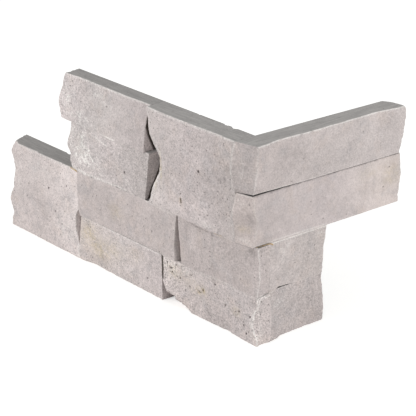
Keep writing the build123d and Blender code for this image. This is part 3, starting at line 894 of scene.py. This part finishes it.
# Sums in the order of their making: name, operation, terms
SUMS = (
    ("stained", "MULTIPLY", "stain", "rusty"),
    ("bruised", "MULTIPLY", "bruise", "crystals"),
    ("bruised", "MAXIMUM", "bruised", "line"),
    ("fine_part", "MULTIPLY_ADD", "fine", 1.1, -0.55),
    ("coarse_part", "MULTIPLY_ADD", "coarse", 0.42, -0.21),
    ("grains", "ADD", "fine_part", "coarse_part"),
    ("grains", "MULTIPLY", "grains", "grain"),
    ("blotch_part", "MULTIPLY_ADD", "blotch", 0.26, -0.13),
    ("grains", "ADD", "grains", "blotch_part"),
    ("cloud_part", "MULTIPLY_ADD", "cloud", 0.26, -0.13),
    ("grains", "ADD", "grains", "cloud_part"),
    ("grains", "MULTIPLY_ADD", "grains", "calm", 1.0),
    # the grain's lightness times the shade: the stone's tone together with painted shade and light
    ("lightness", "MULTIPLY", "grains", "shade"),
    ("chosen", "GREATER_THAN", "porous", "pore_number"),
    ("pore", "MULTIPLY", "chosen", "dot"),
    # pores and pits, together with the painted shadow deep in cracks
    ("hole_and_painted_shadow", "MAXIMUM", "pore", "pit"),
    ("bumps", "MULTIPLY_ADD", "knobs", 1.3, "fine"),
    ("bumps", "MULTIPLY_ADD", "pore", -0.8, "bumps"),
)


def limestone(settings):
    """Split limestone: a fine-grained, matt, mauve-grey stone with pores. Its split face sparkles
    a little with grains of one or two millimetres, its sawn beds are smoother, greyer and
    streaked along the saw's way, and where it is bruised it turns nearly white."""
    name = "split_limestone"
    if name in bpy.data.materials:
        return bpy.data.materials[name]
    material = bpy.data.materials.new(name)
    tree = empty_tree(material)
    place = add(tree, "ShaderNodeTexCoord", {}, {}).node.outputs["Object"]
    value = {}
    for label in ("sawn", "shade", "bruise", "line", "stain", "pit", "porous", "grain"):
        value[label] = add(
            tree, "ShaderNodeAttribute", {"attribute_name": label}, {}).node.outputs["Fac"]
    for label, (size, detail, roughness) in GRAINS.items():
        value[label] = add(tree, "ShaderNodeTexNoise", {}, {
            "Vector": place, "Scale": 1 / (size * MM), "Detail": detail, "Roughness": roughness})

    # saw marks run along the stone, so they take the stone's own directions
    own = add(tree, "ShaderNodeAttribute", {"attribute_name": "own_place"}, {}).node.outputs["Vector"]
    drawn_out = add(tree, "ShaderNodeMapping", {}, {"Vector": own, "Scale": (0.1, 1.0, 1.0)})
    value["saw_marks"] = add(tree, "ShaderNodeTexNoise", {}, {
        "Vector": drawn_out, "Scale": 1 / (1.6 * MM), "Detail": 3.0, "Roughness": 0.6})

    # a pore lies at the middle of some of the cells
    cells = add(tree, "ShaderNodeTexVoronoi", {}, {"Vector": place, "Scale": 1 / (2.7 * MM)})
    value["pore_middle"] = cells
    value["pore_number"] = add(
        tree, "ShaderNodeSeparateColor", {}, {"Color": cells.node.outputs["Color"]})

    for label, (source, low, high, to_low, to_high) in RANGES.items():
        value[label] = add(tree, "ShaderNodeMapRange", {"interpolation_type": "SMOOTHSTEP"}, {
            "Value": value[source], "From Min": low, "From Max": high,
            "To Min": to_low, "To Max": to_high})
    for label, operation, *terms in SUMS:
        value[label] = add(tree, "ShaderNodeMath", {"operation": operation}, {
            number: value.get(term, term) for number, term in enumerate(terms)})

    # the stone's own tint, and what is laid over it layer by layer
    sawn = add(tree, "ShaderNodeMix", {"data_type": "RGBA"}, {
        SHARE: value["streak"], LOWER: linear(settings.sawn_dark),
        UPPER: linear(settings.sawn_light)})
    colour = add(tree, "ShaderNodeAttribute", {"attribute_name": "tint"}, {}).node.outputs["Color"]
    for label, over in (
            ("warm", linear(settings.warm_colour)), ("cool", linear(settings.cool_colour)),
            ("sawn", sawn), ("stained", linear(settings.stain_colour)),
            ("bruised", linear(settings.bruise_colour))):
        colour = add(tree, "ShaderNodeMix", {"data_type": "RGBA"}, {
            SHARE: value[label], LOWER: colour, UPPER: over})
    colour = add(tree, "ShaderNodeVectorMath", {"operation": "SCALE"}, {
        0: colour, "Scale": value["lightness"]})
    # Pores, pits and the painted shadow deep in cracks take the pit colour
    colour = add(tree, "ShaderNodeMix", {"data_type": "RGBA"}, {
        SHARE: value["hole_and_painted_shadow"], LOWER: colour, UPPER: linear(settings.pit_and_painted_shadow_colour)})

    bumped = add(tree, "ShaderNodeBump", {}, {
        "Height": value["bumps"], "Distance": settings.grain_height, "Strength": value["keen"]})
    shader = add(tree, "ShaderNodeBsdfPrincipled", {}, {
        "Base Color": colour, "Roughness": value["rough"], "Normal": bumped,
        "IOR": 1.55, "Specular IOR Level": 0.3})
    add(tree, "ShaderNodeOutputMaterial", {}, {"Surface": shader})
    return material


def cured_adhesive(settings):
    """Stone adhesive, a filled polyester that has yellowed: a dull ochre with paler dust on it
    and a faint gloss where it was squeezed out."""
    name = "cured_adhesive"
    if name in bpy.data.materials:
        return bpy.data.materials[name]
    material = bpy.data.materials.new(name)
    tree = empty_tree(material)
    place = add(tree, "ShaderNodeTexCoord", {}, {}).node.outputs["Object"]
    dust = add(tree, "ShaderNodeTexNoise", {}, {
        "Vector": place, "Scale": 1 / (1.2 * MM), "Detail": 3.0})
    share = add(tree, "ShaderNodeMapRange", {}, {"Value": dust, "From Min": 0.4, "From Max": 0.65})
    colour = add(tree, "ShaderNodeMix", {"data_type": "RGBA"}, {
        SHARE: share, LOWER: linear(settings.adhesive_colour),
        UPPER: linear(settings.dust_colour)})
    bumped = add(tree, "ShaderNodeBump", {}, {"Height": dust, "Distance": 0.0003})
    shader = add(tree, "ShaderNodeBsdfPrincipled", {}, {
        "Base Color": colour, "Roughness": 0.5, "IOR": 1.55, "Normal": bumped})
    add(tree, "ShaderNodeOutputMaterial", {}, {"Surface": shader})
    return material


# Settings

class LedgerStoneSettings(bpy.types.PropertyGroup):
    """Sizes and colours of the stones"""
    grid: bpy.props.FloatProperty(
        name="Grid", description="Spacing of the points on a stone's skin",
        default=0.00075, min=0.0003, max=0.005, unit="LENGTH", precision=5)
    relief: bpy.props.FloatProperty(
        name="Relief", description="Height of the waves on a split face",
        default=0.0011, min=0, max=0.004, unit="LENGTH", precision=5)
    arris_wear: bpy.props.FloatProperty(
        name="Arris wear", description="Usual width of what is chipped off an arris",
        default=0.0008, min=0, max=0.004, unit="LENGTH", precision=5)
    grain_height: bpy.props.FloatProperty(
        name="Grain height", description="Height of the grains on a split face",
        default=0.0005, min=0, max=0.002, unit="LENGTH", precision=5)
    warm_colour: bpy.props.StringProperty(
        name="Warm patches", description="Warmer patches, sRGB hex", default="#cbbdb6")
    cool_colour: bpy.props.StringProperty(
        name="Cool patches", description="Cooler patches, sRGB hex", default="#b9b4b5")
    sawn_light: bpy.props.StringProperty(
        name="Sawn, light", description="Light saw streaks, sRGB hex", default="#b5b2af")
    sawn_dark: bpy.props.StringProperty(
        name="Sawn, dark", description="Dark saw streaks, sRGB hex", default="#a3a09e")
    bruise_colour: bpy.props.StringProperty(
        name="Bruises", description="Crushed stone on an arris, sRGB hex", default="#eeeae6")
    stain_colour: bpy.props.StringProperty(
        name="Stain", description="Iron stain, sRGB hex", default="#cbbb98")
    # Also the colour of the painted shadow deep in cracks
    pit_and_painted_shadow_colour: bpy.props.StringProperty(
        name="Pits", description="Inside of a pit, sRGB hex", default="#3d342e")
    adhesive_colour: bpy.props.StringProperty(
        name="Adhesive", description="Squeezed-out adhesive, sRGB hex", default="#b4915e")
    dust_colour: bpy.props.StringProperty(
        name="Dust", description="Stone dust on the adhesive, sRGB hex", default="#d0c0a4")


class LedgerStageSettings(bpy.types.PropertyGroup):
    """Camera, lamps and floor"""
    camera_place: bpy.props.FloatVectorProperty(
        name="Camera", description="Place of the camera",
        default=(0.8046, -0.7034, 0.5154), subtype="TRANSLATION", unit="LENGTH")
    camera_turn: bpy.props.FloatProperty(
        name="Turn", description="How far the camera is turned from looking along +Y",
        default=math.radians(50.57), subtype="ANGLE")
    camera_tilt: bpy.props.FloatProperty(
        name="Tilt", description="How far the camera looks down",
        default=math.radians(21.41), subtype="ANGLE")
    lens: bpy.props.FloatProperty(
        name="Lens", description="Focal length in millimetres for a 36 mm sensor", default=142.24)
    floor_colour: bpy.props.StringProperty(
        name="Floor", description="Floor, sRGB hex", default="#f4f4f2")
    long_lamp: bpy.props.FloatProperty(
        name="Long leg's lamp", description="Power of the lamp before the long leg",
        default=26, unit="POWER")
    return_lamp: bpy.props.FloatProperty(
        name="Return leg's lamp", description="Power of the lamp before the return leg",
        default=26, unit="POWER")
    sky: bpy.props.FloatProperty(
        name="Sky", description="Strength of the even light from all round", default=0.55)


# Operators

def add_stones(context, *names):
    """Adds the named stones with the scene's settings, and gives what an operator returns."""
    for name in names:
        add_stone(name, context.scene.ledger_stone)
    return {"FINISHED"}


class LEDGER_OT_left_strips(bpy.types.Operator):
    """Build the two split strips at the upper left of the long leg"""
    bl_idname = "ledger.left_strips"
    bl_label = "Upper left strips"

    def execute(self, context):
        return add_stones(context, "top_left_strip", "second_left_strip")


class LEDGER_OT_tall_blocks(bpy.types.Operator):
    """Build the two blocks that are two courses high"""
    bl_idname = "ledger.tall_blocks"
    bl_label = "Tall blocks"

    def execute(self, context):
        return add_stones(context, "tall_middle_block", "tall_left_block")


class LEDGER_OT_middle_strips(bpy.types.Operator):
    """Build the two middle strips of the lower half"""
    bl_idname = "ledger.middle_strips"
    bl_label = "Lower middle strips"

    def execute(self, context):
        return add_stones(context, "third_middle_strip", "bottom_middle_strip")


class LEDGER_OT_corner_strips(bpy.types.Operator):
    """Build the two lower strips that run through to the corner"""
    bl_idname = "ledger.corner_strips"
    bl_label = "Lower corner strips"

    def execute(self, context):
        return add_stones(context, "third_corner_strip", "bottom_corner_strip")


class LEDGER_OT_return_strips(bpy.types.Operator):
    """Build the two long strips of the return leg"""
    bl_idname = "ledger.return_strips"
    bl_label = "Return strips"

    def execute(self, context):
        return add_stones(context, "top_return_strip", "second_return_strip")


class LEDGER_OT_return_stubs(bpy.types.Operator):
    """Build the two short stones of the return leg"""
    bl_idname = "ledger.return_stubs"
    bl_label = "Return stubs"

    def execute(self, context):
        return add_stones(context, "third_return_stub", "bottom_return_stub")


class LEDGER_OT_adhesive(bpy.types.Operator):
    """Add the beads of adhesive that show at three joints"""
    bl_idname = "ledger.adhesive"
    bl_label = "Adhesive beads"

    def execute(self, context):
        for name in BEADS:
            add_bead(name, context.scene.ledger_stone)
        return {"FINISHED"}


class LEDGER_OT_stage(bpy.types.Operator):
    """Set up the floor, the lamps, the sky and the camera"""
    bl_idname = "ledger.stage"
    bl_label = "Stage"

    def execute(self, context):
        stage = context.scene.ledger_stage
        add_floor(stage)
        add_sky(context.scene, stage)
        add_lamp("long_leg_lamp", LONG_LAMP_PLACE, stage.long_lamp)
        add_lamp("return_leg_lamp", RETURN_LAMP_PLACE, stage.return_lamp)
        add_camera(context.scene, stage)
        context.scene.view_settings.view_transform = "Standard"
        return {"FINISHED"}


def seen_directly(tree):
    """1 for what the camera, a gloss or a clear surface sees, 0 for light on its way."""
    path = add(tree, "ShaderNodeLightPath", {}, {}).node.outputs
    seen = path["Is Camera Ray"]
    for other in ("Is Glossy Ray", "Is Transmission Ray"):
        seen = add(tree, "ShaderNodeMath", {"operation": "MAXIMUM"}, {0: seen, 1: path[other]})
    return seen


def add_floor(stage):
    """A pale, level floor. Seen by the camera it also glows a little, so that it reads white
    where no shadow falls on it and keeps the shadow where one does."""
    corners = FLOOR_REACH * np.array([[-1, -1, 0], [1, -1, 0], [1, 1, 0], [-1, 1, 0]])
    floor = add_mesh("studio_floor", corners, np.array([[0, 1, 2, 3]]))
    material = bpy.data.materials.new("pale_studio_floor")
    tree = empty_tree(material)
    matt = add(tree, "ShaderNodeBsdfDiffuse", {}, {"Color": linear(stage.floor_colour)})
    glow = add(tree, "ShaderNodeEmission", {}, {"Color": WHITE, "Strength": FLOOR_GLOW})
    both = add(tree, "ShaderNodeAddShader", {}, {0: matt, 1: glow})
    pick = add(tree, "ShaderNodeMixShader", {}, {0: seen_directly(tree), 1: matt, 2: both})
    add(tree, "ShaderNodeOutputMaterial", {}, {"Surface": pick})
    floor.data.materials.append(material)


def add_sky(scene, stage):
    """Even light from all round, and white where it is seen directly."""
    world = bpy.data.worlds.new("studio_sky")
    tree = empty_tree(world)
    light = add(tree, "ShaderNodeBackground", {}, {"Color": WHITE, "Strength": stage.sky})
    white = add(tree, "ShaderNodeBackground", {}, {"Color": WHITE, "Strength": 1.0})
    pick = add(tree, "ShaderNodeMixShader", {}, {0: seen_directly(tree), 1: light, 2: white})
    add(tree, "ShaderNodeOutputWorld", {}, {"Surface": pick})
    scene.world = world


def add_lamp(name, place, power):
    """A square soft lamp that looks at the middle of the corner."""
    data = bpy.data.lights.new(name, "AREA")
    data.shape = "SQUARE"
    data.size = LAMP_SIDE
    data.energy = power
    lamp = bpy.data.objects.new(name, data)
    bpy.context.scene.collection.objects.link(lamp)
    lamp.location = place
    aim = Vector(MIDDLE_OF_CORNER) - Vector(place)
    lamp.rotation_euler = aim.to_track_quat("-Z", "Y").to_euler()


def add_camera(scene, stage):
    """The camera where the photograph was taken from. Unturned it looks straight down, so it is
    first raised to the level, less its tilt, and then turned about the vertical."""
    data = bpy.data.cameras.new("camera")
    data.lens = stage.lens
    data.sensor_width = 36
    data.clip_start = 0.05
    data.clip_end = 20
    camera = bpy.data.objects.new("camera", data)
    scene.collection.objects.link(camera)
    camera.location = stage.camera_place
    camera.rotation_euler = (math.pi / 2 - stage.camera_tilt, 0, stage.camera_turn)
    scene.camera = camera


class LEDGER_PT_sidebar(bpy.types.Panel):
    """Sizes, colours and the pieces of the corner"""
    bl_idname = "LEDGER_PT_sidebar"
    bl_label = "Ledger stone corner"
    bl_space_type = "VIEW_3D"
    bl_region_type = "UI"
    bl_category = "Ledger stone"

    def draw(self, context):
        layout = self.layout
        for settings in (context.scene.ledger_stone, context.scene.ledger_stage):
            box = layout.box()
            for key in settings.__annotations__:
                box.prop(settings, key)
        column = layout.column()
        for operator in OPERATORS:
            column.operator(operator.bl_idname)


OPERATORS = (
    LEDGER_OT_left_strips, LEDGER_OT_tall_blocks, LEDGER_OT_middle_strips,
    LEDGER_OT_corner_strips, LEDGER_OT_return_strips, LEDGER_OT_return_stubs,
    LEDGER_OT_adhesive, LEDGER_OT_stage,
)
CLASSES = (LedgerStoneSettings, LedgerStageSettings, *OPERATORS, LEDGER_PT_sidebar)


def register():
    """Makes the settings, the operators and the panel known to Blender."""
    for kind in CLASSES:
        bpy.utils.register_class(kind)
    bpy.types.Scene.ledger_stone = bpy.props.PointerProperty(type=LedgerStoneSettings)
    bpy.types.Scene.ledger_stage = bpy.props.PointerProperty(type=LedgerStageSettings)


def unregister():
    """Takes them away again."""
    del bpy.types.Scene.ledger_stage
    del bpy.types.Scene.ledger_stone
    for kind in reversed(CLASSES):
        bpy.utils.unregister_class(kind)


def main():
    """Builds every piece and the stage."""
    register()
    bpy.ops.ledger.left_strips()
    bpy.ops.ledger.tall_blocks()
    bpy.ops.ledger.middle_strips()
    bpy.ops.ledger.corner_strips()
    bpy.ops.ledger.return_strips()
    bpy.ops.ledger.return_stubs()
    bpy.ops.ledger.adhesive()
    bpy.ops.ledger.stage()


if __name__ == "__main__":
    main()
